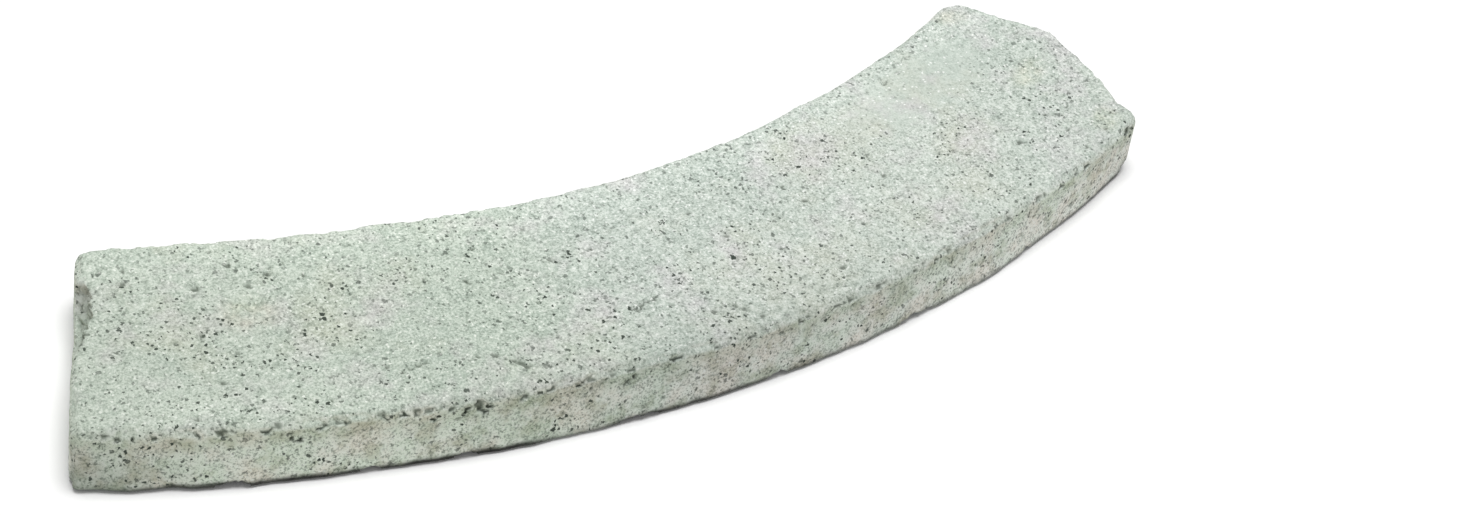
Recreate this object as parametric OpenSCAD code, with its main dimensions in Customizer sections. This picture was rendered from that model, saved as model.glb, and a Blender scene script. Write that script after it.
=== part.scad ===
// Curved kerb stone, cast in concrete as one piece.
// A flat ring sector lying on its broad bed: one end is cut square to the curve,
// the other end runs out to a blunt, off-centre point.
// Millimetres. +Z is up and the bed lies on z = 0. The chord runs along X, the convex
// face looks towards -Y, and the origin is under the middle of the bounding box.

/* [Section] */
// Widest measure across the stone, just above the bed
width = 140; // [100:1:220]
// Height from the bed to the top face
thickness = 40; // [30:1:70]
// Lean of both long faces from the vertical, in degrees
draft = 2; // [0.5:0.1:4]
// Radius of the arris along the top of both long faces
top_arris_r = 4; // [1:0.5:8]
// Radius of the arris along the bed of both long faces
bed_arris_r = 2; // [0.5:0.5:5]

/* [Plan] */
// Radius of the concave long face
inner_radius = 750; // [400:5:2000]
// Angle from the square end to the outer shoulder of the nose, in degrees
sweep = 45; // [25:0.5:60]
// How far each upright corner is cut back along its two faces
corner_cut = 6; // [2:0.5:14]
// How far the arris at the top of the ends is cut back into the top face
end_cut = 2; // [1:0.5:5]
// How far the same arris is cut down the ends
end_drop = 3; // [1.5:0.5:8]

/* [Nose] */
// How far the point stands out beyond the outer shoulder
nose_height = 30; // [15:1:45]
// Where the point lies across the width, measured from the concave face
nose_offset = 56; // [40:1:70]
// How much further than the outer shoulder the inner shoulder runs out
shoulder_lead = 5; // [0:0.5:10]
// How far the point is cut back along its two flanks
tip_cut = 7; // [3:0.5:20]

/* [Hidden] */
$fn = 180;

outer_radius = inner_radius + width;
half_sweep = sweep / 2;
// The sweep runs past both ends by this angle, so that the ends can be cut from it.
spare = 1.5 * nose_height / inner_radius * 180 / PI;
// Size of the blocks that cut the ends, enough to take the spare length off.
reach = width + 4 * nose_height;
// How far a cutting block stands past the bed and the top face.
over = thickness / 4;

// Unit vector at an angle, and the angle of a vector.
function unit(a) = [cos(a), sin(a)];
function angle_of(v) = atan2(v[1], v[0]);

// Centres of the two arris circles, measured inwards from the widest point of a long face.
bed_in = bed_arris_r;
arris_rise = thickness - top_arris_r - bed_arris_r;
top_in = bed_in + (top_arris_r - bed_arris_r + arris_rise * sin(draft)) / cos(draft);
top_z = thickness - top_arris_r;
// The flat of a long face lies this far inside both arris circles and meets them at a crease.
tuck = 0.04;

// Corners of the plan, about the centre of the curve.
square_radius = unit(-half_sweep - 90);
nose_radius = unit(half_sweep - 90);
square_inner = inner_radius * square_radius;
square_outer = outer_radius * square_radius;
lead_angle = shoulder_lead / inner_radius * 180 / PI;
nose_inner = inner_radius * unit(half_sweep + lead_angle - 90);
nose_outer = outer_radius * nose_radius;
nose_point = (inner_radius + nose_offset) * nose_radius + nose_height * unit(half_sweep);

// Directions in which the three straight faces look.
square_look = 180 - half_sweep;
inner_look = angle_of(nose_point - nose_inner) + 90;
outer_look = angle_of(nose_outer - nose_point) + 90;

// Half the turn of the outline at each corner.
square_turn = 45;
inner_turn = (half_sweep + lead_angle + 90 - inner_look) / 2;
tip_turn = (inner_look - outer_look) / 2;
outer_turn = (outer_look + 90 - half_sweep) / 2;

// Where the cut across a corner p, looking along a, runs into the concave face.
function on_inner_face(p, a, turn) =
    on_circle(p * unit(a) - corner_cut * sin(turn), a, sign(p * unit(a + 90)));
function on_circle(d, a, side) =
    d * unit(a) + side * sqrt(inner_radius * inner_radius - d * d) * unit(a + 90);

// Points of the outline that bound it on the left, on the right and at the back.
left_point = square_outer - corner_cut * square_radius;
right_point = nose_outer + corner_cut * unit(outer_look + 90);
right_tip = nose_point + tip_cut * unit(outer_look - 90);
back_left = on_inner_face(square_inner, square_look - square_turn, square_turn);
back_right = on_inner_face(nose_inner, inner_look + inner_turn, inner_turn);
back_tip = nose_point + tip_cut * unit(inner_look + 90);

// Middle of the bounding box about the centre of the curve.
max_x = max(right_point[0], right_tip[0]);
max_y = max(back_left[1], back_right[1], back_tip[1]);
middle = [(left_point[0] + max_x) / 2, (max_y - outer_radius) / 2];

// One long edge of the section: its widest point is on x = 0 and it runs back to -depth.
module long_edge(depth) {
    polygon([
        [-depth, 0],
        [-bed_in, 0],
        [-bed_in, bed_arris_r] + (bed_arris_r - tuck) * unit(draft),
        [-top_in, top_z] + (top_arris_r - tuck) * unit(draft),
        [-top_in, thickness],
        [-depth, thickness],
    ]);
    translate([-bed_in, bed_arris_r])
        circle(r = bed_arris_r);
    translate([-top_in, top_z])
        circle(r = top_arris_r);
}

// Both long faces and everything between them, swept past both ends.
// The two halves of the section overlap in the middle.
module long_faces() {
    rotate([0, 0, -90 - half_sweep - spare])
        rotate_extrude(angle = sweep + 2 * spare)
            union() {
                translate([outer_radius, 0])
                    long_edge(0.6 * width);
                translate([inner_radius, 0])
                    mirror([1, 0])
                        long_edge(0.6 * width);
            }
}

// Everything beyond an upright straight face through p that looks along a.
// Its arris is cut off too, by a slope that runs on past the top face.
module beyond_face(p, a) {
    run = over * end_cut / end_drop;
    translate([p[0], p[1], 0])
        rotate([90, 0, a])
            translate([0, 0, -reach])
                linear_extrude(height = 2 * reach)
                    polygon([
                        [0, -over],
                        [reach, -over],
                        [reach, thickness + over],
                        [-end_cut - run, thickness + over],
                        [0, thickness - end_drop],
                    ]);
}

// Everything beyond the upright cut across a corner p, which looks along a.
module beyond_corner(p, a, turn, cut) {
    q = p - cut * sin(turn) * unit(a);
    translate([q[0], q[1], -over])
        rotate([0, 0, a])
            translate([0, -2 * cut, 0])
                cube([4 * cut, 4 * cut, thickness + 2 * over]);
}

module kerb_stone() {
    color([0.76, 0.79, 0.76])
        translate([-middle[0], -middle[1], 0])
            difference() {
                long_faces();
                beyond_face(square_outer, square_look);
                beyond_face(nose_point, inner_look);
                beyond_face(nose_point, outer_look);
                beyond_corner(square_inner, square_look - square_turn, square_turn, corner_cut);
                beyond_corner(square_outer, square_look + square_turn, square_turn, corner_cut);
                beyond_corner(nose_inner, inner_look + inner_turn, inner_turn, corner_cut);
                beyond_corner(nose_point, outer_look + tip_turn, tip_turn, tip_cut);
                beyond_corner(nose_outer, outer_look - outer_turn, outer_turn, corner_cut);
            }
}

kerb_stone();
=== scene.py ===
# %% [markdown]
# A curved kerb stone, cast in concrete as one piece.
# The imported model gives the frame: its solid has the true size, and this lesson dresses it.
# Lengths are in millimetres up to the finished mesh, and in the patterns of the concrete.
# The floor, the lamp and the camera are in metres.

# %% Frame and tools
import math
import random

import bmesh
import bpy
from mathutils import Matrix, Vector, kdtree, noise


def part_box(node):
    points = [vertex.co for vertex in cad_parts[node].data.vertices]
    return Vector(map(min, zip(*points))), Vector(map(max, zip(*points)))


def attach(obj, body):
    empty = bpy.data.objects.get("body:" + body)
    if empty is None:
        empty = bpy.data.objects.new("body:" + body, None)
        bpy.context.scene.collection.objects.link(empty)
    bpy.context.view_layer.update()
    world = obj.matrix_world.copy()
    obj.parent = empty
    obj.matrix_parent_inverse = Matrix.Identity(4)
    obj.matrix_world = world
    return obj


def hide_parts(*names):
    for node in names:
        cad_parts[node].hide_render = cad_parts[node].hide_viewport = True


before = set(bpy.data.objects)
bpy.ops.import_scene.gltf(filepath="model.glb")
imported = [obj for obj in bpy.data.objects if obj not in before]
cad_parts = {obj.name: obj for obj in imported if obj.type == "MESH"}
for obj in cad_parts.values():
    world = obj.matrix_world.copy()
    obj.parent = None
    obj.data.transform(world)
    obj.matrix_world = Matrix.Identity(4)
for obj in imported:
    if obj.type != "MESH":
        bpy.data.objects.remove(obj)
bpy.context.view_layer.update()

# %% [markdown]
# The stone is a slice of a flat ring. Its section is 140 mm wide, and the concave face has a
# radius of 750 mm. These are the values of the part's source; the thickness and the centre of
# the curve are read from the frame, so the dressed stone lies on the solid.

# %% Sizes of the stone
MM = 0.001
INNER_RADIUS = 750.0
WIDTH = 140.0
SWEEP = 45.0
CORNER_CUT = 6.0

low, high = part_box("kerb_stone")
THICKNESS = (high[2] - low[2]) / MM
OUTER_RADIUS = INNER_RADIUS + WIDTH
HALF_SWEEP = math.radians(SWEEP / 2)
LENGTH = (INNER_RADIUS + WIDTH / 2) * 2 * HALF_SWEEP
CENTRE_X = low[0] / MM + (OUTER_RADIUS - CORNER_CUT) * math.sin(HALF_SWEEP)
CENTRE_Y = low[1] / MM + OUTER_RADIUS
print(f"length on the middle line {LENGTH:.1f}, thickness {THICKNESS:.1f}")
print(f"centre of the curve {CENTRE_X:.2f}, {CENTRE_Y:.2f}")

# %% [markdown]
# The section could be spun about the centre of the curve. But a worn stone is hard to shape on
# a curve, so it is modelled straight and bent at the end. In the straight bar x runs along the
# stone from the square end, y across it from the concave face and z up from the bed, and every
# chip and pore can be placed with plain measures.
# The bar starts as a cube. A bevel on its twelve edges makes the cast arrises, and the six
# faces stay four-sided, so that cutting their edges lays an even grid over them.

# %% Straight bar
ARRIS = 3.5
ARRIS_STEPS = 3

bar = bmesh.new()
bmesh.ops.create_cube(bar, size=1.0)
bmesh.ops.scale(bar, vec=(LENGTH, WIDTH, THICKNESS), verts=bar.verts)
bmesh.ops.translate(bar, vec=(LENGTH / 2, WIDTH / 2, THICKNESS / 2), verts=bar.verts)
bmesh.ops.bevel(
    bar,
    geom=bar.edges[:],
    offset=ARRIS,
    segments=ARRIS_STEPS,
    profile=0.5,
    affect="EDGES",
    material=-1,
)
print("bevelled bar:", len(bar.faces), "faces")

# %% [markdown]
# Fine damage needs points close together. A subdivision of the whole bar would put them
# everywhere, so each of the three directions is cut in turn instead. The bed is only cut along
# the stone: it lies on the floor, so it needs no grid of its own.

# %% Grid over the faces
PITCH = 1.6
ALONG, ACROSS, UP = 0, 1, 2
STRAIGHT = 0.999
HAIR = 0.1


def long_edges(axis, run):
    """Edges of the bar that lie along one axis and are longer than half the given run."""
    chosen = []
    for edge in bar.edges:
        reach = edge.verts[1].co - edge.verts[0].co
        if abs(reach[axis]) > max(run / 2, STRAIGHT * reach.length):
            chosen.append(edge)
    return chosen


def inside_bed(edge):
    """True for an edge in the bed that isn't on the rim of the bed."""
    middle = (edge.verts[0].co + edge.verts[1].co) / 2
    return middle.z < HAIR and ARRIS + HAIR < middle.x < LENGTH - ARRIS - HAIR


def cut_grid(edges, run):
    """Cuts edges of about the given run into pieces of about one pitch."""
    bmesh.ops.subdivide_edges(bar, edges=edges, cuts=round(run / PITCH) - 1)


cut_grid(long_edges(ALONG, LENGTH), LENGTH)
cut_grid([edge for edge in long_edges(ACROSS, WIDTH) if not inside_bed(edge)], WIDTH)
cut_grid(long_edges(UP, THICKNESS), THICKNESS)
print("grid:", len(bar.verts), "points,", len(bar.faces), "faces")

# %% [markdown]
# Chips, spalls and pores are all hollows. A boolean for each would be slow and would break up
# the grid, so each is scooped with an ellipsoid: a point inside it is pushed along one direction
# until it lies on the far side of the ellipsoid. The push keeps the points in order, so the grid
# isn't torn. How deep a point was pushed is kept in an attribute called hollow, which the
# concrete later reads to gather dirt: much in an old pore, and little on the clean face of a chip.

# %% Scoops
HOLLOW_FULL = 1.6
COARSE_LUMP, FINE_LUMP = 4.5, 1.9
MOST_SWELL = 1.4

hollow = bar.verts.layers.float.new("hollow")
bar.verts.ensure_lookup_table()
points = kdtree.KDTree(len(bar.verts))
for vert in bar.verts:
    points.insert(vert.co, vert.index)
points.balance()


def scoop(centre, radii, push, dirt, rough=0.25):
    """Takes an ellipsoid out of the bar, pushing into the stone, and leaves dirt in the hollow."""
    centre = Vector(centre)
    radii = Vector(radii)
    push = Vector(push).normalized()
    for place, index, _ in points.find_range(centre, MOST_SWELL * max(radii)):
        vert = bar.verts[index]
        swell = 1 + rough * noise.noise(place / COARSE_LUMP) + rough * noise.noise(place / FINE_LUMP)
        start = vert.co - centre
        p = Vector([start[i] / (radii[i] * swell) for i in range(3)])
        d = Vector([push[i] / (radii[i] * swell) for i in range(3)])
        a = d.dot(d)
        b = p.dot(d)
        c = p.dot(p) - 1
        if c >= 0:
            continue
        travel = (-b + math.sqrt(b * b - a * c)) / a
        vert.co += travel * push
        vert[hollow] = max(vert[hollow], dirt * min(1.0, travel / HOLLOW_FULL))


print("search tree:", len(bar.verts), "points")

# %% [markdown]
# The arris of a real stone is never one clean radius: it is softer in some stretches than in
# others, and wavers all along. A wider bevel would be the same from end to end, so a rounding of
# varying radius is laid over both long arrises before the single chips are knocked out of them.
# The radii are given at equally spaced stations from the square end to the nose.

# %% Soft arrises
OUTER_TOP_SOFT = (5.5, 3.6, 3.6, 3.6, 4.0, 4.2, 4.2, 4.2, 4.0, 4.0)
INNER_TOP_SOFT = (5.0, 4.0, 4.0, 4.5, 5.0, 5.0, 4.5, 4.5, 5.0, 5.5)
# Length of the waves, their size, and the line of the noise that they are read from.
ARRIS_WAVER = (23.0, 0.35, (0.3, 0.7))


def smooth_step(t):
    """Eases from 0 to 1."""
    t = min(max(t, 0.0), 1.0)
    return t * t * (3 - 2 * t)


def station(values, share):
    """Smooth value between equally spaced stations, at a share of the whole run."""
    place = min(max(share, 0.0), 1.0) * (len(values) - 1)
    first = min(int(place), len(values) - 2)
    t = smooth_step(place - first)
    return values[first] * (1 - t) + values[first + 1] * t


def waver(x, wave, size, line):
    """A factor about 1 that wavers along the stone."""
    return 1 + size * noise.noise(Vector((x / wave, *line)))


def rounded(inward, down, radius):
    """Moves a point near an edge onto a rounding: its depths below the two faces that meet there."""
    if inward >= radius or down >= radius:
        return inward, down
    spoke = Vector((radius - inward, radius - down))
    if spoke.length > radius:
        spoke *= radius / spoke.length
    return radius - spoke.x, radius - spoke.y


for vert in bar.verts:
    share = vert.co.x / LENGTH
    uneven = waver(vert.co.x, *ARRIS_WAVER)
    soft = station(OUTER_TOP_SOFT, share) * uneven
    inward, down = rounded(WIDTH - vert.co.y, THICKNESS - vert.co.z, soft)
    vert.co.y, vert.co.z = WIDTH - inward, THICKNESS - down
    soft = station(INNER_TOP_SOFT, share) * uneven
    inward, down = rounded(vert.co.y, THICKNESS - vert.co.z, soft)
    vert.co.y, vert.co.z = inward, THICKNESS - down
print("soft arrises laid over", len(bar.verts), "points")

# %% [markdown]
# The mix never quite fills the mould along the bed, so the front face spreads a little at its
# foot, stops short of the floor and tucks in under itself. The dark line at the foot is what makes
# a heavy stone look as if it lies on the ground. A shadow alone would be too even, so the points
# are moved, and a painted contact shadow on the lip, darker in some stretches than in others, is
# kept in an attribute called contact_shadow.

# %% Foot and painted contact shadow
OUTER_BED_SOFT = (6.0, 4.0, 3.0, 2.5, 2.5, 2.5, 2.5, 2.5, 2.5, 3.0)
OUTER_BED_TUCK = (9.0, 9.0, 9.0, 9.0, 11.0, 11.0, 11.0, 9.0, 7.0, 7.0)
OUTER_BED_RISE = (1.2, 1.2, 1.2, 1.2, 1.2, 1.3, 1.5, 1.5, 1.3, 1.2)
OUTER_FOOT = (4.2, 5.0, 4.2, 4.2, 5.0, 4.0, 4.8, 5.2, 1.5, 0.3)
FOOT_WAVER = (13.0, 0.3, (1.7, 2.3))
FOOT_DEPTH = 30.0
CONTACT_SHADOW_DARK = (0.6, 0.76, 0.92, 0.94, 0.95, 0.96, 0.97, 0.6, 0.97, 0.91,
              0.85, 0.72, 0.6, 0.58, 0.55, 0.65, 0.75, 0.85, 0.95)
CONTACT_SHADOW_RISE = (0.5, 1.8, 3.0, 2.3, 1.6, 2.1, 2.6, 0.5, 1.9, 1.4,
              1.0, 0.8, 0.6, 0.5, 0.4, 0.4, 0.5, 1.2, 2.0)
CONTACT_SHADOW_WAVER = (9.0, 0.6, (4.1, 0.2))
CONTACT_SHADOW_FADE = 2.6

contact_shadow = bar.verts.layers.float.new("contact_shadow")
for vert in bar.verts:
    share = vert.co.x / LENGTH
    uneven = waver(vert.co.x, *ARRIS_WAVER)
    soft = station(OUTER_BED_SOFT, share) * uneven
    inward, rise = rounded(WIDTH - vert.co.y, vert.co.z, soft)
    near = smooth_step(1 - inward / FOOT_DEPTH)
    lip = station(OUTER_BED_RISE, share) * uneven
    patchy = waver(vert.co.x, *CONTACT_SHADOW_WAVER)
    above = rise - lip - patchy * station(CONTACT_SHADOW_RISE, share)
    # Painted contact shadow on the lip and just above it.
    vert[contact_shadow] = near * station(CONTACT_SHADOW_DARK, share) * smooth_step(1 - above / CONTACT_SHADOW_FADE)
    inward += near * station(OUTER_BED_TUCK, share) * math.sqrt(max(0.0, 1 - rise / lip))
    ragged = waver(vert.co.x, *FOOT_WAVER)
    inward -= near * ragged * station(OUTER_FOOT, share) * (1 - rise / THICKNESS)
    vert.co.y, vert.co.z = WIDTH - inward, rise
print("darkest joint:", round(max(vert[contact_shadow] for vert in bar.verts), 2))

# %% [markdown]
# One end is square, and its top arris has spalled off over part of the width, with small pits in
# the break. The spall could be one large scoop, but three that overlap leave a broken outline.

# %% Spall on the square end
PORE_DIRT, SPALL_DIRT = 0.85, 0.42
RAGGED_RIM = 0.8
INTO_SQUARE_ARRIS = (1, 0, -1)
SPALL_OUT = 1
# Place across the stone, half width, reach along the stone, depth.
SPALL_PLACES = (
    (38.0, 14.0, 9.5, 12.0),
    (50.0, 17.0, 10.0, 11.0),
    (66.0, 13.0, 6.5, 8.0),
)
for across, half, reach, depth in SPALL_PLACES:
    centre = (-SPALL_OUT, across, THICKNESS + SPALL_OUT)
    scoop(centre, (reach, half, depth), INTO_SQUARE_ARRIS, SPALL_DIRT)

SPALL_PIT_IN, SPALL_PIT_DOWN = 3.5, 2.5
# Place across the stone, radius.
SPALL_PITS = ((31, 1.9), (36, 1.3), (42, 1.8), (49, 1.4), (54, 2.0), (60, 1.3), (67, 1.6))
for across, radius in SPALL_PITS:
    centre = (SPALL_PIT_IN, across, THICKNESS - SPALL_PIT_DOWN)
    scoop(centre, (2 * radius, radius, 2 * radius), INTO_SQUARE_ARRIS, PORE_DIRT, RAGGED_RIM)
print("spall:", len(SPALL_PLACES), "scoops and", len(SPALL_PITS), "pits")

# %% [markdown]
# The other large damage is placed one piece at a time too, because a stone is known by it: long
# chips out of the front arris, notches at the bed, and the lower front corner lost at the nose,
# with painted shadow round it. Scattering them would give another stone. Places along the stone
# are given as angles from the middle of the curve.

# %% Chips, notches and the lost corner
CHIP_DIRT = 0.12
INTO_OUTER_ARRIS = (0, -1, -1)
INTO_FOOT = (0, -1, 0.6)
INTO_LOST_CORNER = (-1, -1, 0.5)


def along(angle):
    """Distance from the square end of a place at an angle from the middle of the curve."""
    return (angle / SWEEP + 0.5) * LENGTH


# Angle, half length, depth.
ARRIS_CHIPS = (
    (-19.0, 18, 2.6),
    (-14.2, 20, 3.6),
    (-9.6, 14, 2.6),
    (-3.4, 22, 3.8),
    (0.2, 20, 3.8),
    (4.1, 18, 3.2),
    (8.7, 18, 3.0),
    (12.8, 24, 3.6),
    (18.0, 20, 3.0),
)
for angle, half, depth in ARRIS_CHIPS:
    scoop((along(angle), WIDTH, THICKNESS), (half, depth, depth), INTO_OUTER_ARRIS, CHIP_DIRT)

# Angle, half length, depth, height.
BED_NOTCHES = (
    (-17.1, 9, 7.0, 5.0),
    (-12.4, 5, 6.5, 4.5),
    (-9.0, 7, 6.0, 4.0),
    (-2.5, 12, 6.5, 4.0),
    (3.2, 6, 6.0, 5.0),
    (9.4, 10, 6.5, 4.0),
    (15.5, 5, 5.5, 4.5),
)
NOTCH_OUT = 3
for angle, half, depth, rise in BED_NOTCHES:
    scoop((along(angle), WIDTH + NOTCH_OUT, 0), (half, depth, rise), INTO_FOOT, PORE_DIRT)

LOST_CORNER = Vector((LENGTH, WIDTH, 0))
LOST_OUT = Vector((2, 2, -2))
LOST_RADII = (12, 10.5, 13)
CORNER_SHADOW_REACH = 17.0
CORNER_SHADOW_DARK = 0.55
scoop(LOST_CORNER + LOST_OUT, LOST_RADII, INTO_LOST_CORNER, SPALL_DIRT)
# Painted shadow round the lost corner, kept with the contact shadow.
for _, index, far in points.find_range(LOST_CORNER, CORNER_SHADOW_REACH):
    vert = bar.verts[index]
    corner_shadow = CORNER_SHADOW_DARK * smooth_step(2 * (1 - far / CORNER_SHADOW_REACH))
    vert[contact_shadow] = max(vert[contact_shadow], corner_shadow)
print("large damage:", len(ARRIS_CHIPS), "chips and", len(BED_NOTCHES), "notches")

# %% [markdown]
# Small chips run along all four top arrises. There are too many of them to place by hand, so
# they are scattered, with a fixed seed that gives the same chips on every run.

# %% Small chips
INTO_INNER_ARRIS = (0, 1, -1)
INTO_NOSE_ARRIS = (-1, 0, -1)
OUTER_CHIPS, INNER_CHIPS, SQUARE_CHIPS, NOSE_CHIPS = 110, 120, 24, 36
CHIP_HALF = (2.0, 8.0)
CHIP_DEPTH = (1.8, 3.6)
CHIP_SEED = 11
chance = random.Random(CHIP_SEED)


def small_chips(count, corner, run, push):
    """Scatters small chips along one top arris. corner(s) is the arris at a run of s."""
    lengthwise = push[0] == 0
    for _ in range(count):
        s = chance.uniform(0, run)
        half = chance.uniform(*CHIP_HALF)
        depth = chance.uniform(*CHIP_DEPTH)
        radii = (half, depth, depth) if lengthwise else (depth, half, depth)
        scoop(corner(s), radii, push, CHIP_DIRT)


small_chips(OUTER_CHIPS, lambda s: (s, WIDTH, THICKNESS), LENGTH, INTO_OUTER_ARRIS)
small_chips(INNER_CHIPS, lambda s: (s, 0, THICKNESS), LENGTH, INTO_INNER_ARRIS)
small_chips(SQUARE_CHIPS, lambda s: (0, s, THICKNESS), WIDTH, INTO_SQUARE_ARRIS)
small_chips(NOSE_CHIPS, lambda s: (LENGTH, s, THICKNESS), WIDTH, INTO_NOSE_ARRIS)
print("small chips:", OUTER_CHIPS, INNER_CHIPS, SQUARE_CHIPS, NOSE_CHIPS)

# %% [markdown]
# Just below the front arris the trowel doesn't close the mix, and dark pits are left. They
# could be left to the concrete's own pattern, but here they break the outline of the arris, so
# they are scooped: single ones, a few more of them towards the square end, and clumps in listed
# places. The clumps have a seed of their own, so moving one leaves the pores alone.

# %% Pits below the front arris
ARRIS_PITS = 200
PIT_CROWDING = 1.3
PIT_IN = 0.6
PIT_DOWN = (0.8, 5.0)
PIT_RADIUS = (0.8, 1.5)
PIT_STRETCH = (1.0, 2.4)
for _ in range(ARRIS_PITS):
    s = LENGTH * chance.random() ** PIT_CROWDING
    centre = (s, WIDTH - PIT_IN, THICKNESS - chance.uniform(*PIT_DOWN))
    radius = chance.uniform(*PIT_RADIUS)
    radii = (radius * chance.uniform(*PIT_STRETCH), radius, radius)
    scoop(centre, radii, INTO_OUTER_ARRIS, PORE_DIRT, RAGGED_RIM)

# Angle, height above the bed.
ARRIS_CLUMPS = (
    (-15.8, 30.0),
    (-13.7, 38.0),
    (-10.4, 33.0),
    (-8.7, 33.0),
    (-6.5, 37.0),
    (-3.9, 38.0),
    (-2.3, 29.0),
)
CLUMP_PITS = 9
CLUMP_LONG, CLUMP_HIGH = 8.0, 2.6
CLUMP_TOP = THICKNESS - 0.5
CLUMP_IN = 0.2
CLUMP_RADIUS = (0.9, 1.5)
CLUMP_STRETCH = 1.3
CLUMP_SEED = 5
TORN_RIM = 0.9
clump_chance = random.Random(CLUMP_SEED)
for angle, level in ARRIS_CLUMPS:
    for _ in range(CLUMP_PITS):
        s = along(angle) + clump_chance.gauss(0, CLUMP_LONG)
        z = min(CLUMP_TOP, clump_chance.gauss(level, CLUMP_HIGH))
        radius = clump_chance.uniform(*CLUMP_RADIUS)
        radii = (CLUMP_STRETCH * radius, radius, radius)
        scoop((s, WIDTH - CLUMP_IN, z), radii, INTO_OUTER_ARRIS, PORE_DIRT, TORN_RIM)
print("pits:", ARRIS_PITS, "and", len(ARRIS_CLUMPS), "clumps of", CLUMP_PITS)

# %% [markdown]
# Air bubbles and lost grains leave pores in the top and the front face. Pores that are painted
# on look flat when the stone is turned, so the larger ones are scooped. The largest of all are
# placed one by one, where they show.

# %% Large pores
DOWN = (0, 0, -1)
UNEVEN_RIM = 0.6
PORE_LIFT = 0.3
PORE_OVAL = 0.8
# Angle, place across the stone, radius.
TOP_PORES = (
    (-14.9, 29, 2.3),
    (-15.7, 37, 2.2),
    (-17.8, 37, 2.6),
    (-20.7, 30, 2.4),
    (-17.2, 107, 2.4),
    (-17.8, 73, 2.1),
    (-16.6, 86, 2.2),
    (-7.1, 55, 2.4),
    (-7.5, 53, 2.0),
    (-6.5, 123, 2.5),
    (-1.5, 102, 2.3),
    (1.5, 124, 3.0),
    (1.1, 118, 2.2),
    (2.0, 118, 2.0),
    (5.3, 90, 2.1),
    (17.1, 103, 2.4),
    (18.9, 98, 2.1),
    (22.7, 118, 2.4),
)
for angle, across, radius in TOP_PORES:
    radii = (radius, PORE_OVAL * radius, radius)
    scoop((along(angle), across, THICKNESS + PORE_LIFT), radii, DOWN, PORE_DIRT, UNEVEN_RIM)
print("large pores:", len(TOP_PORES))

# %% [markdown]
# The other scooped pores are scattered by the same chance as the chips, clear of the arrises;
# squaring the chance makes most of them small. Three short rows of pores stand close together,
# as where a grain was dragged along, and these are placed one by one again.

# %% Scattered pores and rows
INTO_OUTER_FACE = (0, -1, 0)
SCATTERED_TOP, SCATTERED_FRONT = 180, 90
SCATTER_LIFT = 0.4
SMALLEST_PORE = 0.9
TOP_GROWTH, FRONT_GROWTH = 1.1, 0.7
FLATTENED = (0.7, 1.0)
TOP_CLEAR, FRONT_CLEAR = 6, 4
for _ in range(SCATTERED_TOP):
    x = chance.uniform(TOP_CLEAR, LENGTH - TOP_CLEAR)
    y = chance.uniform(TOP_CLEAR, WIDTH - TOP_CLEAR)
    radius = SMALLEST_PORE + TOP_GROWTH * chance.random() ** 2
    radii = (radius, radius * chance.uniform(*FLATTENED), radius)
    scoop((x, y, THICKNESS + SCATTER_LIFT), radii, DOWN, PORE_DIRT, RAGGED_RIM)
for _ in range(SCATTERED_FRONT):
    x = chance.uniform(FRONT_CLEAR, LENGTH - FRONT_CLEAR)
    z = chance.uniform(FRONT_CLEAR, THICKNESS - TOP_CLEAR)
    radius = SMALLEST_PORE + FRONT_GROWTH * chance.random() ** 2
    radii = (radius, radius, radius * chance.uniform(*FLATTENED))
    scoop((x, WIDTH + SCATTER_LIFT, z), radii, INTO_OUTER_FACE, PORE_DIRT, RAGGED_RIM)

# Angle and place across the stone of the first and the last pore of each row.
PORE_ROWS = (
    ((-10.9, 113), (-10.0, 109)),
    ((-7.4, 112), (-6.4, 123)),
    ((-1.6, 100), (-0.6, 97)),
)
ROW_STEP = 4.4
ROW_RADII = (1.7, 1.6, 2.4)
for (first_angle, first_across), (last_angle, last_across) in PORE_ROWS:
    first = Vector((along(first_angle), first_across, THICKNESS + PORE_LIFT))
    last = Vector((along(last_angle), last_across, THICKNESS + PORE_LIFT))
    steps = round((last - first).length / ROW_STEP)
    for step in range(steps + 1):
        scoop(first.lerp(last, step / steps), ROW_RADII, DOWN, PORE_DIRT, TORN_RIM)
print("scattered pores:", SCATTERED_TOP, SCATTERED_FRONT, "rows:", len(PORE_ROWS))

# %% [markdown]
# No cast face is flat. Waves of about a hand's breadth come from the mould and the trowel, and
# finer lumps from the grains. A displace modifier could make them; here the points are moved
# along their normals in code, so that the waves can fade out at the bed.

# %% Uneven faces
# Length and height of the waves.
WAVES = ((90.0, 0.8), (32.0, 0.45), (11.0, 0.30), (4.5, 0.22), (2.4, 0.16))
BED_FADE = 5.0

bar.normal_update()
normals = [vert.normal.copy() for vert in bar.verts]
for vert, normal in zip(bar.verts, normals):
    height = sum(size * noise.noise(vert.co / wave) for wave, size in WAVES)
    fade = min(1.0, max(0.0, vert.co.z / BED_FADE))
    vert.co += height * fade * normal
print("uneven by up to", sum(size for _, size in WAVES), "mm")

# %% [markdown]
# A thin grey darkening lies over the stone. It thins out from the square end to the nose. On
# the top it is also painted shade, which thins from the front to the concave edge, and painted
# shade makes it thicker along the front in the middle of the stone. Grime makes it thickest on the
# lower corner of the front at the square end. It could be painted on an image, but a value for
# each point needs no file: it is kept in an attribute called grime_and_shade.

# %% Darkening, grime and painted shade
DARKENING_ALONG = (0.23, 0.20, 0.15, 0.12, 0.10, 0.09, 0.085, 0.085, 0.08, 0.06)
PAINTED_SHADE_FRONT = (0.0, -0.03, 0.0, 0.09, 0.14, 0.16, 0.11, 0.05, 0.0, 0.07)
FRONT_DEPTH = 55.0
PAINTED_SHADE_ACROSS_TOP = (-0.14, -0.08, -0.01, 0.01, 0.03, 0.035, 0.03, 0.025, 0.04)
TOP_FROM, TOP_FULL = THICKNESS - 8.0, THICKNESS - 2.0
CORNER_GRIME, CORNER_LONG, CORNER_HIGH = 0.31, 90.0, 46.0

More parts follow.
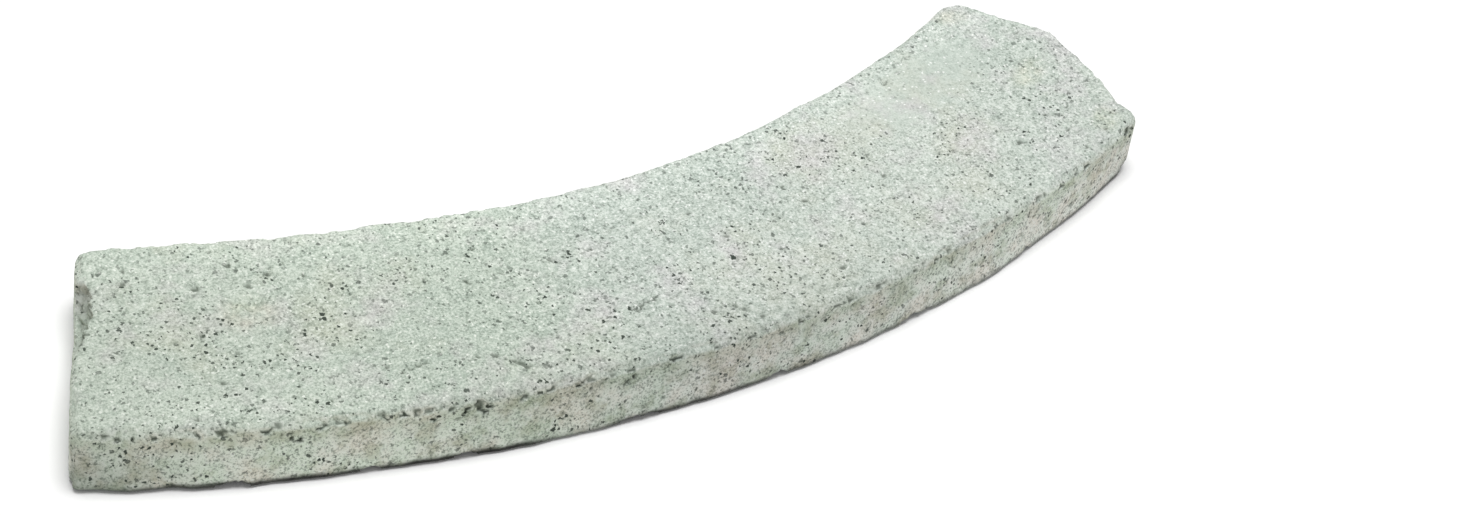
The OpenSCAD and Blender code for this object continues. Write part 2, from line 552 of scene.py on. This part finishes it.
grime_and_shade = bar.verts.layers.float.new("grime_and_shade")
for vert in bar.verts:
    share = vert.co.x / LENGTH
    front = smooth_step(1 - (WIDTH - vert.co.y) / FRONT_DEPTH)
    # Darker towards the square end, with painted shade along the front, thickest in the middle.
    darkening = station(DARKENING_ALONG, share) + front * station(PAINTED_SHADE_FRONT, share)
    on_top = smooth_step((vert.co.z - TOP_FROM) / (TOP_FULL - TOP_FROM))
    # Painted shade across the top: least at the concave edge, most towards the front.
    darkening += on_top * station(PAINTED_SHADE_ACROSS_TOP, vert.co.y / WIDTH)
    vert[grime_and_shade] = max(0.0, darkening)
    if vert.co.y > WIDTH - ARRIS:
        low_corner = smooth_step(1 - vert.co.x / CORNER_LONG) * smooth_step(1 - vert.co.z / CORNER_HIGH)
        vert[grime_and_shade] += CORNER_GRIME * low_corner
print("most grime:", round(max(vert[grime_and_shade] for vert in bar.verts), 2))

# %% [markdown]
# Other traces of use and age are kept in the same way, and so is painted light on the upright
# faces, which paints them paler, most towards the two ends and least in the middle. One patch of
# the top near the nose was trowelled smooth and is calm. The half at the square end has aged a
# little yellower, and there are four faint rust stains.

# %% Painted side light, calm, aged and rusty places
PAINTED_SIDE_LIGHT_ALONG = (0.72, 1.0, 0.88, 0.70, 0.54, 0.65, 0.66, 0.70, 0.94, 1.0)
AGED_END, AGED_FADE = 0.5 * LENGTH, 0.15 * LENGTH
# Angle, place across the stone, half length, half width.
CALM_PATCH = (16.2, 33.0, 54.0, 22.0)
RUST_STAINS = (
    (-15.9, 58, 16, 12),
    (19.8, 70, 12, 8),
    (21.2, 9, 9, 8),
    (21.2, 126, 9, 8),
)
PATCH_RIM = 1.5


def oval(vert, angle, across, half_long, half_wide):
    """1 in the middle of an oval patch, easing to 0 outside its rim."""
    far = math.hypot((vert.co.x - along(angle)) / half_long, (vert.co.y - across) / half_wide)
    return smooth_step(PATCH_RIM - far)


painted_side_light = bar.verts.layers.float.new("painted_side_light")
calm = bar.verts.layers.float.new("calm")
rust = bar.verts.layers.float.new("rust")
aged = bar.verts.layers.float.new("aged")
for vert in bar.verts:
    # Painted light on the upright faces, strongest towards the two ends.
    vert[painted_side_light] = station(PAINTED_SIDE_LIGHT_ALONG, vert.co.x / LENGTH)
    vert[calm] = oval(vert, *CALM_PATCH)
    vert[rust] = max(oval(vert, *stain) for stain in RUST_STAINS)
    vert[aged] = smooth_step((AGED_END - vert.co.x) / AGED_FADE)
print("traces kept for", len(bar.verts), "points, rust stains:", len(RUST_STAINS))

# %% [markdown]
# Now the plan. The upright corners are worn round, both long faces lean in by two degrees, and
# the far end runs out to a blunt, off-centre point. The long edges and the ends wander by a few
# millimetres, and by the most where the concave edge meets the nose. Each of these could be a
# cut of its own; as one function from a place on the bar to a place in the plan they all stay
# smooth, and no point is lost.

# %% Plan of the stone
DRAFT = math.radians(2.0)
INNER_SQUARE_ROUND, OUTER_SQUARE_ROUND = 12.0, 6.0
INNER_NOSE_ROUND, OUTER_NOSE_ROUND = 11.0, 3.5
INNER_WANDER = (-0.2, -4.3, -4.5, -3.8, -1.4, -0.1, 0.0, -1.5, -5.2, -9.0)
OUTER_WANDER = (0.5, 0.3, -1.0, -0.3, -1.0, 1.0, 1.5, 0.4, 0.4, -1.0)
SQUARE_WANDER = (2.0, 2.2, 2.4, 2.2, 1.4, 0.2, 0.2, 0.4)
END_RUN = 170.0
# Reach at the concave face, and its slope across the stone.
INNER_FLANK = (5.6, 0.431)
OUTER_FLANK = (53.0, -0.377)
NOSE_BLUNT = 1.6
# Height, place across the stone, half width.
NOSE_BUMPS = ((2.0, 95.0, 25.0), (2.0, 133.0, 4.5), (-1.4, 122.0, 6.0))


def corner_round(end, side, radius):
    """Wears an upright corner round: distances of a point from the end and from the long face."""
    if end >= radius or side >= radius:
        return end, side
    spoke = Vector((radius - end, radius - side))
    if spoke.length > 0:
        spoke *= max(spoke.x, spoke.y) / spoke.length
    return radius - spoke.x, radius - spoke.y


def nose_reach(across):
    """How far the pointed end stands out beyond the outer shoulder."""
    flanks = [start + slope * across for start, slope in (INNER_FLANK, OUTER_FLANK)]
    reach = -NOSE_BLUNT * math.log(sum(math.exp(-flank / NOSE_BLUNT) for flank in flanks))
    for height, middle, half in NOSE_BUMPS:
        reach += height * math.exp(-(((across - middle) / half) ** 2))
    return reach


print(f"nose stands out by up to {max(nose_reach(y) for y in range(round(WIDTH))):.1f} mm")

# %% [markdown]
# The last step of the shape bends the bar about the centre of the curve and scales it to metres.
# A simple deform modifier bends too, but it knows nothing of the nose or the wander.


# %% Bend and finish
def bent(point):
    """Place of a point of the straight bar in the frame."""
    x, y, z = point
    x, y = corner_round(x, y, INNER_SQUARE_ROUND)
    x, side = corner_round(x, WIDTH - y, OUTER_SQUARE_ROUND)
    y = WIDTH - side
    end, y = corner_round(LENGTH - x, y, INNER_NOSE_ROUND)
    end, side = corner_round(end, WIDTH - y, OUTER_NOSE_ROUND)
    x, y = LENGTH - end, WIDTH - side
    lean = 1 - 2 * z * math.tan(DRAFT) / WIDTH
    share = x / LENGTH
    inner = station(INNER_WANDER, share)
    outer = station(OUTER_WANDER, share)
    wander = inner + (outer - inner) * y / WIDTH
    radius = INNER_RADIUS + WIDTH / 2 + (y - WIDTH / 2) * lean + wander
    out = nose_reach(y) * smooth_step(1 - (LENGTH - x) / END_RUN)
    out += station(SQUARE_WANDER, y / WIDTH) * smooth_step(1 - x / END_RUN)
    angle = (share * 2 - 1) * HALF_SWEEP + out / radius
    return Vector((CENTRE_X + radius * math.sin(angle), CENTRE_Y - radius * math.cos(angle), z))


for vert in bar.verts:
    vert.co = bent(vert.co)
bmesh.ops.scale(bar, vec=(MM, MM, MM), verts=bar.verts)
bmesh.ops.recalc_face_normals(bar, faces=bar.faces)
for face in bar.faces:
    face.smooth = True

stone_mesh = bpy.data.meshes.new("worn_kerb_stone")
bar.to_mesh(stone_mesh)
bar.free()
stone = bpy.data.objects.new("worn_kerb_stone", stone_mesh)
bpy.context.collection.objects.link(stone)
triangles = sum(len(p.vertices) - 2 for p in stone_mesh.polygons)
print("worn stone:", triangles, "triangles")

# %% [markdown]
# The concrete is pale, slightly green grey, and full of sand. An image would repeat or blur, so
# its colour is built from nodes, from large to small: clouds, mottling, single grains, light
# specks, and three sizes of dark pores. The helpers here join nodes, so that the cells below read
# like sums.

# %% Helpers for the concrete
concrete = bpy.data.materials.new("concrete")
concrete.use_nodes = True
nodes = concrete.node_tree.nodes
links = concrete.node_tree.links
shader = nodes["Principled BSDF"]


def feed(socket, value):
    """Links a socket to an input, or sets the input to a plain value."""
    if isinstance(value, bpy.types.NodeSocket):
        links.new(value, socket)
    else:
        socket.default_value = value


def maths(operation, first, second):
    """One operation on two values."""
    node = nodes.new("ShaderNodeMath")
    node.operation = operation
    feed(node.inputs[0], first)
    feed(node.inputs[1], second)
    return node.outputs["Value"]


def times(first, second):
    """Product of two values."""
    return maths("MULTIPLY", first, second)


def spread(value, low, high, to_low=0.0, to_high=1.0):
    """Maps a value from one range to another, and stops at its ends."""
    node = nodes.new("ShaderNodeMapRange")
    feed(node.inputs["Value"], value)
    feed(node.inputs["From Min"], low)
    feed(node.inputs["From Max"], high)
    feed(node.inputs["To Min"], to_low)
    feed(node.inputs["To Max"], to_high)
    return node.outputs["Result"]


def mix(factor, first, second, blend="MIX"):
    """Goes from the first colour to the second, or to their blend, as far as the factor says."""
    node = nodes.new("ShaderNodeMix")
    node.data_type = "RGBA"
    node.blend_type = blend
    feed(node.inputs[0], factor)
    feed(node.inputs[6], first)
    feed(node.inputs[7], second)
    return node.outputs[2]


def tinted(factor, first, tint):
    """Multiplies a colour by a tint, as far as the factor says."""
    return mix(factor, first, mix(1.0, first, tint, "MULTIPLY"))


def tone(red, green, blue):
    """A colour given in the usual 0 to 255 steps, as linear light."""
    steps = [c / 255 for c in (red, green, blue)]
    light = [c / 12.92 if c <= 0.04045 else ((c + 0.055) / 1.055) ** 2.4 for c in steps]
    return (*light, 1.0)


print("concrete starts with", len(nodes), "nodes")

# %% [markdown]
# The patterns read Object coordinates, so they are fixed to the stone at its real scale. Soft
# noise gives clouds, stains and sand. Cells give specks and pores; their coordinates stray a
# little, because plain cells would look like round dots. What the mesh keeps for each point is
# read from its attributes.

# %% Patterns
place = nodes.new("ShaderNodeTexCoord").outputs["Object"]
STRAY_SIZE, STRAY_FAR = 0.6, 0.9


def field(size, detail, roughness=0.5):
    """Soft noise with patches of about the given size in millimetres."""
    node = nodes.new("ShaderNodeTexNoise")
    feed(node.inputs["Vector"], place)
    node.inputs["Scale"].default_value = 1 / (size * MM)
    node.inputs["Detail"].default_value = detail
    node.inputs["Roughness"].default_value = roughness
    return node.outputs["Fac"]


def blended(first, share, second):
    """Two fields in one: a share of the first, and the rest from the second."""
    return maths("ADD", times(first, share), times(second, 1 - share))


def swing(value, size):
    """A field, which lies about 0.5, as a swing of the given size about 0."""
    return times(maths("SUBTRACT", value, 0.5), size)


def strayed(size, far):
    """Object coordinates, shifted by up to far along each axis, in patches of the given size."""
    node = nodes.new("ShaderNodeTexNoise")
    feed(node.inputs["Vector"], place)
    node.inputs["Scale"].default_value = 1 / (size * MM)
    node.inputs["Detail"].default_value = 1
    stray = nodes.new("ShaderNodeVectorMath")
    stray.operation = "MULTIPLY_ADD"
    feed(stray.inputs[0], node.outputs["Color"])
    stray.inputs[1].default_value = (far * MM, far * MM, far * MM)
    feed(stray.inputs[2], place)
    return stray.outputs["Vector"]


def cells(size):
    """Ragged cells of about the given size in millimetres: distance and two chances for each."""
    node = nodes.new("ShaderNodeTexVoronoi")
    feed(node.inputs["Vector"], strayed(STRAY_SIZE * size, STRAY_FAR * size))
    node.inputs["Scale"].default_value = 1 / (size * MM)
    split = nodes.new("ShaderNodeSeparateColor")
    feed(split.inputs["Color"], node.outputs["Color"])
    return node.outputs["Distance"], split.outputs["Red"], split.outputs["Green"]


def kept(name):
    """The value that an attribute of the mesh keeps for each point."""
    node = nodes.new("ShaderNodeAttribute")
    node.attribute_name = name
    return node.outputs["Fac"]


def parts(vector):
    """The three parts of a vector."""
    node = nodes.new("ShaderNodeSeparateXYZ")
    feed(node.inputs["Vector"], vector)
    return node.outputs


print("kept:", [layer.name for layer in stone_mesh.attributes if layer.data_type == "FLOAT"])

# %% [markdown]
# Clouds and mottling set the ground colour. A few warm stains and cooler, faintly lilac patches
# lie over it, as they do where the mix was wetter or where soil has touched it. One flat grey
# would be simpler, but no concrete is that even.

# %% Ground colour
CEMENT_PALE = tone(210, 219, 209)
CEMENT_GREY = tone(190, 202, 192)
OCHRE = tone(206, 201, 180)
LILAC = tone(210, 205, 208)
CLOUD_SIZE, MOTTLE_SIZE, STAIN_SIZE, COOL_SIZE = 120, 16, 70, 28

cloud = blended(field(CLOUD_SIZE, 3), 0.5, field(MOTTLE_SIZE, 4, 0.6))
colour = mix(spread(cloud, 0.36, 0.64), CEMENT_GREY, CEMENT_PALE)
stain = spread(field(STAIN_SIZE, 5, 0.65), 0.52, 0.74, 0.0, 0.4)
colour = mix(stain, colour, OCHRE)
cool = spread(field(COOL_SIZE, 4, 0.6), 0.50, 0.72, 0.0, 0.7)
colour = mix(cool, colour, LILAC)
print("ground colour:", len(nodes), "nodes so far")

# %% [markdown]
# The upright faces see less of the sky, so their cement is painted paler as painted light, most
# towards the two ends; pale blotches lie over it, and its tint turns pinker in some patches and
# greener in others. They could have a material of their own, but then a hard line would run along
# the arris, so the direction of the surface eases one look into the other.

# %% Upright faces
SIDE_PALE_AND_PAINTED_LIGHT = tone(248, 252, 242)
SIDE_WARM = tone(254, 245, 243)
SIDE_GREEN = tone(247, 254, 249)
BLOTCH_SIZE, BLUSH_SIZE = 14, 26

facing = parts(nodes.new("ShaderNodeNewGeometry").outputs["Normal"])
upright = spread(maths("ABSOLUTE", facing["Z"], 0.0), 0.2, 0.8, 1.0, 0.0)
blotch = field(BLOTCH_SIZE, 3, 0.6)
# Painted light on the upright faces, paler still in blotches.
pale_and_painted_light = maths("ADD", spread(blotch, 0.46, 0.64, 0.0, 0.4), kept("painted_side_light"))
colour = mix(times(pale_and_painted_light, upright), colour, SIDE_PALE_AND_PAINTED_LIGHT)
blush = field(BLUSH_SIZE, 3, 0.6)
colour = tinted(times(spread(blush, 0.48, 0.62), upright), colour, SIDE_WARM)
colour = tinted(times(spread(blush, 0.38, 0.50, 1.0, 0.0), upright), colour, SIDE_GREEN)
print("upright faces:", len(nodes), "nodes so far")

# %% [markdown]
# Sand shows as single grains about a millimetre across, some darker and some nearly white. It
# is fainter on the calm patch, and darker on the upright faces. Grains as real geometry would
# need millions of faces, so they are colour here, and bump further down.

# %% Sand
GRAIN_DARK = tone(112, 122, 113)
GRAIN_PALE = tone(250, 254, 248)
SPECK = tone(250, 253, 248)
GRAIN_SIZE, CLUMP_SIZE, SPECK_CELL = 1.4, 4.5, 2.6
SPECK_SHOWS = 0.9

grain = field(GRAIN_SIZE, 2, 0.7)
clump = field(CLUMP_SIZE, 2, 0.6)
sand = blended(grain, 0.7, clump)
lively = spread(kept("calm"), 0.0, 1.0, 1.0, 0.4)
colour = mix(times(spread(sand, 0.26, 0.50, 0.95, 0.0), lively), colour, GRAIN_DARK)
colour = mix(times(spread(sand, 0.50, 0.72, 0.0, 0.95), lively), colour, GRAIN_PALE)
colour = mix(times(spread(sand, 0.32, 0.52, 0.5, 0.0), upright), colour, GRAIN_DARK)
speck_far, speck_chance, _ = cells(SPECK_CELL)
speck = times(spread(speck_far, 0.18, 0.34, 1.0, 0.0), spread(speck_chance, 0.60, 0.75))
colour = mix(times(speck, SPECK_SHOWS), colour, SPECK)
print("sand:", len(nodes), "nodes so far")

# %% [markdown]
# Between the scooped pores lie thousands that are too small for the grid. They are cells of
# which only some are open; each open one gets its own width and darkness by chance. They crowd
# in patches, show more where grime and painted shade darken the stone, and are faint on the calm
# patch.

# %% Fine pores
PORE = tone(58, 66, 60)
PORE_SHOWS = 0.9
PORE_RAGGED = 0.35
CROWD_SIZE = 34


def pores(size, open_from, widest):
    """Pores in some of the cells, each as wide and as dark as its chances say."""
    far, luck, shade = cells(size)
    width = spread(luck, open_from, 1.0, 0.0, widest)
    uneven_far = maths("ADD", far, swing(grain, PORE_RAGGED))
    inside = spread(maths("SUBTRACT", width, uneven_far), 0.0, 0.10)
    return times(inside, spread(shade, 0.0, 1.0, 0.15, 1.0))


small_pores = pores(size=2.3, open_from=0.45, widest=0.50)
middle_pores = pores(size=3.6, open_from=0.59, widest=0.45)
wide_pores = pores(size=5.5, open_from=0.82, widest=0.32)
open_pores = maths("MAXIMUM", maths("MAXIMUM", small_pores, middle_pores), wide_pores)
grime_and_shade_value = kept("grime_and_shade")
pore_boost = times(lively, spread(grime_and_shade_value, 0.08, 0.25, 0.95, 1.2))
crowded = spread(field(CROWD_SIZE, 2), 0.36, 0.62, 0.55, 1.3)
all_pores = times(open_pores, times(pore_boost, crowded))
colour = mix(times(all_pores, PORE_SHOWS), colour, PORE)
print("fine pores:", len(nodes), "nodes so far")

# %% [markdown]
# Dirt stays in the hollows, and darkens the upright faces in blotches. A slightly darker band
# runs just under their upper arris, and soil with painted shade darkens the lowest few
# millimetres. Over all of it lie the traces that the mesh keeps: the grey darkening with its grime
# and painted shade, the yellower half, the rust stains and the painted contact shadow at the foot.
# The ragged edge of the dirt follows the grains, so it doesn't look sprayed on.

# %% Dirt, stains and painted shadow
DIRT = tone(96, 102, 94)
SIDE_DARK = tone(230, 230, 222)
BAND_TINT = tone(238, 239, 234)
FOOT_SOIL_AND_SHADE = tone(70, 72, 66)
GRIME_AND_SHADE_TONE = tone(92, 100, 91)
AGED_TINT = tone(253, 255, 250)
RUST_TINT = tone(255, 253, 245)
CONTACT_SHADOW_TONE = tone(26, 26, 24)
DIRT_RAGGED, LEVEL_WAVY, RUST_SIZE = 0.8, 8.0, 7

deep = kept("hollow")
ragged = maths("ADD", deep, swing(grain, DIRT_RAGGED))
dirt = times(spread(ragged, 0.25, 0.75, 0.0, 0.8), spread(deep, 0.0, 0.3))
colour = mix(dirt, colour, DIRT)
colour = tinted(times(spread(blotch, 0.36, 0.50, 1.0, 0.0), upright), colour, SIDE_DARK)
level = maths("DIVIDE", parts(place)["Z"], MM)
wavy = maths("ADD", level, swing(clump, LEVEL_WAVY))
band = times(spread(wavy, 24.0, 32.0), spread(wavy, 36.0, 39.0, 1.0, 0.0))
colour = tinted(times(band, upright), colour, BAND_TINT)
# Soil and painted shade on the lowest few millimetres of the upright faces.
colour = mix(times(spread(wavy, 2.0, 7.0, 0.35, 0.0), upright), colour, FOOT_SOIL_AND_SHADE)
# The grey darkening, with its grime and painted shade.
colour = mix(grime_and_shade_value, colour, GRIME_AND_SHADE_TONE)
colour = tinted(kept("aged"), colour, AGED_TINT)
rusty = times(kept("rust"), spread(field(RUST_SIZE, 3), 0.35, 0.65, 0.3, 1.0))
colour = tinted(rusty, colour, RUST_TINT)
# Painted contact shadow at the foot, nearly black.
colour = mix(kept("contact_shadow"), colour, CONTACT_SHADOW_TONE)
feed(shader.inputs["Base Color"], colour)
print("dirt:", len(nodes), "nodes so far")

# %% [markdown]
# Dry concrete hardly shines. Bump and roughness could have patterns of their own, but they
# follow the same grains and pores as the colour, so that light and colour agree.

# %% Bump and gloss
BUMP_STRENGTH, BUMP_DEPTH = 0.55, 0.8
GRAIN_RELIEF = 0.8
GLOSS = 0.25

bump = nodes.new("ShaderNodeBump")
bump.inputs["Strength"].default_value = BUMP_STRENGTH
bump.inputs["Distance"].default_value = BUMP_DEPTH * MM
feed(bump.inputs["Height"], maths("SUBTRACT", times(grain, GRAIN_RELIEF), all_pores))
feed(shader.inputs["Normal"], bump.outputs["Normal"])
feed(shader.inputs["Roughness"], spread(grain, 0.3, 0.7, 0.98, 0.86))
shader.inputs["Specular IOR Level"].default_value = GLOSS
stone_mesh.materials.append(concrete)
print("concrete:", len(nodes), "nodes")

# %% [markdown]
# The stone rides on the part's only body and stands for its solid. The solid could stay and only
# get the new material, but its faces are perfect, and those of a worn stone aren't.

# %% Place in the part
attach(stone, "root")
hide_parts("kerb_stone")
print("worn stone rides on root")

# %% [markdown]
# The floor is one plain sheet; it isn't part of the stone.

# %% Floor
FLOOR_REACH = 6.0

sheet = bmesh.new()
bmesh.ops.create_grid(sheet, x_segments=1, y_segments=1, size=FLOOR_REACH)
floor_mesh = bpy.data.meshes.new("floor")
sheet.to_mesh(floor_mesh)
sheet.free()
floor = bpy.data.objects.new("floor", floor_mesh)
bpy.context.collection.objects.link(floor)
print("floor:", len(floor_mesh.polygons), "face")

# %% [markdown]
# A white floor could be had with more light, but then the stone would burn out. So the floor has
# two looks. What the camera sees is a nearly white surface with a trace of its own light, which
# keeps the shadow under the stone. The light that it throws back onto the stone is that of a
# slightly greyer floor.

# %% White of the floor
FLOOR_BOUNCE = 0.85
FLOOR_LIT = 0.97
FLOOR_OWN = 0.02


def seen(tree):
    """1 for what is seen directly, in a mirror or through glass, and 0 for light on the stone."""
    path = tree.nodes.new("ShaderNodeLightPath")
    total = path.outputs["Is Camera Ray"]
    for name in ("Is Glossy Ray", "Is Transmission Ray"):
        add = tree.nodes.new("ShaderNodeMath")
        add.operation = "MAXIMUM"
        tree.links.new(total, add.inputs[0])
        tree.links.new(path.outputs[name], add.inputs[1])
        total = add.outputs["Value"]
    return total


white = bpy.data.materials.new("white_floor")
white.use_nodes = True
tree = white.node_tree
tree.nodes.clear()
bounce = tree.nodes.new("ShaderNodeBsdfDiffuse")
bounce.inputs["Color"].default_value = (FLOOR_BOUNCE, FLOOR_BOUNCE, FLOOR_BOUNCE, 1)
lit = tree.nodes.new("ShaderNodeBsdfDiffuse")
lit.inputs["Color"].default_value = (FLOOR_LIT, FLOOR_LIT, FLOOR_LIT, 1)
own = tree.nodes.new("ShaderNodeEmission")
own.inputs["Strength"].default_value = FLOOR_OWN
both = tree.nodes.new("ShaderNodeAddShader")
tree.links.new(lit.outputs["BSDF"], both.inputs[0])
tree.links.new(own.outputs["Emission"], both.inputs[1])
choose = tree.nodes.new("ShaderNodeMixShader")
tree.links.new(seen(tree), choose.inputs["Fac"])
tree.links.new(bounce.outputs["BSDF"], choose.inputs[1])
tree.links.new(both.outputs["Shader"], choose.inputs[2])
output = tree.nodes.new("ShaderNodeOutputMaterial")
tree.links.new(choose.outputs["Shader"], output.inputs["Surface"])
floor_mesh.materials.append(white)
print("white of the floor:", len(tree.nodes), "nodes")

# %% [markdown]
# Light falls from a wide soft lamp, almost straight above the stone, and from a dim sky that the
# camera sees as plain white. A small lamp would throw a hard shadow. Together they light a level
# face so that its colour renders about as it is written.

# %% Light
SKY = 0.40
LAMP_WATTS = 186.0
LAMP_SIZE = 3.0
LAMP_PLACE = Vector((0.1, 0.05, 4.9))

world = bpy.data.worlds.new("studio")
bpy.context.scene.world = world
world.use_nodes = True
tree = world.node_tree
ground = tree.nodes["Background"]
strength = tree.nodes.new("ShaderNodeMapRange")
strength.inputs["To Min"].default_value = SKY
strength.inputs["To Max"].default_value = 1.0
tree.links.new(seen(tree), strength.inputs["Value"])
ground.inputs["Color"].default_value = (1, 1, 1, 1)
tree.links.new(strength.outputs["Result"], ground.inputs["Strength"])

lamp_data = bpy.data.lights.new("soft_lamp", "AREA")
lamp_data.shape = "DISK"
lamp_data.size = LAMP_SIZE
lamp_data.energy = LAMP_WATTS
lamp = bpy.data.objects.new("soft_lamp", lamp_data)
lamp.location = LAMP_PLACE
lamp.rotation_euler = LAMP_PLACE.to_track_quat("Z", "Y").to_euler()
bpy.context.collection.objects.link(lamp)
print("lamp:", LAMP_WATTS, "W,", LAMP_SIZE, "m wide")

# %% [markdown]
# The camera stands in front of the convex face and to the left, looks down at about 43 degrees
# and is tilted, so that the stone rises towards the right of the picture. A constraint could
# point it, but the tilt is easier to give as three directions: right, upward and back.

# %% Camera
AZIMUTH = math.radians(-38.23)
ELEVATION = math.radians(43.03)
ROLL = math.radians(11.77)
DISTANCE = 1.969
AIM = Vector((0.0573, -0.0370, 0.0313))
LENS = 84.9
SENSOR = 36.0

level_right = Vector((math.cos(AZIMUTH), math.sin(AZIMUTH), 0))
flat = math.cos(ELEVATION)
back = Vector((math.sin(AZIMUTH) * flat, -math.cos(AZIMUTH) * flat, math.sin(ELEVATION)))
level_up = back.cross(level_right)
right = math.cos(ROLL) * level_right + math.sin(ROLL) * level_up
upward = back.cross(right)

camera_data = bpy.data.cameras.new("camera")
camera_data.sensor_fit = "HORIZONTAL"
camera_data.sensor_width = SENSOR
camera_data.lens = LENS
camera = bpy.data.objects.new("camera", camera_data)
turn = Matrix((right, upward, back)).transposed().to_4x4()
camera.matrix_world = Matrix.Translation(AIM + DISTANCE * back) @ turn
bpy.context.collection.objects.link(camera)
bpy.context.scene.camera = camera
bpy.context.scene.view_settings.view_transform = "Standard"
print("camera at", [round(c, 3) for c in AIM + DISTANCE * back])
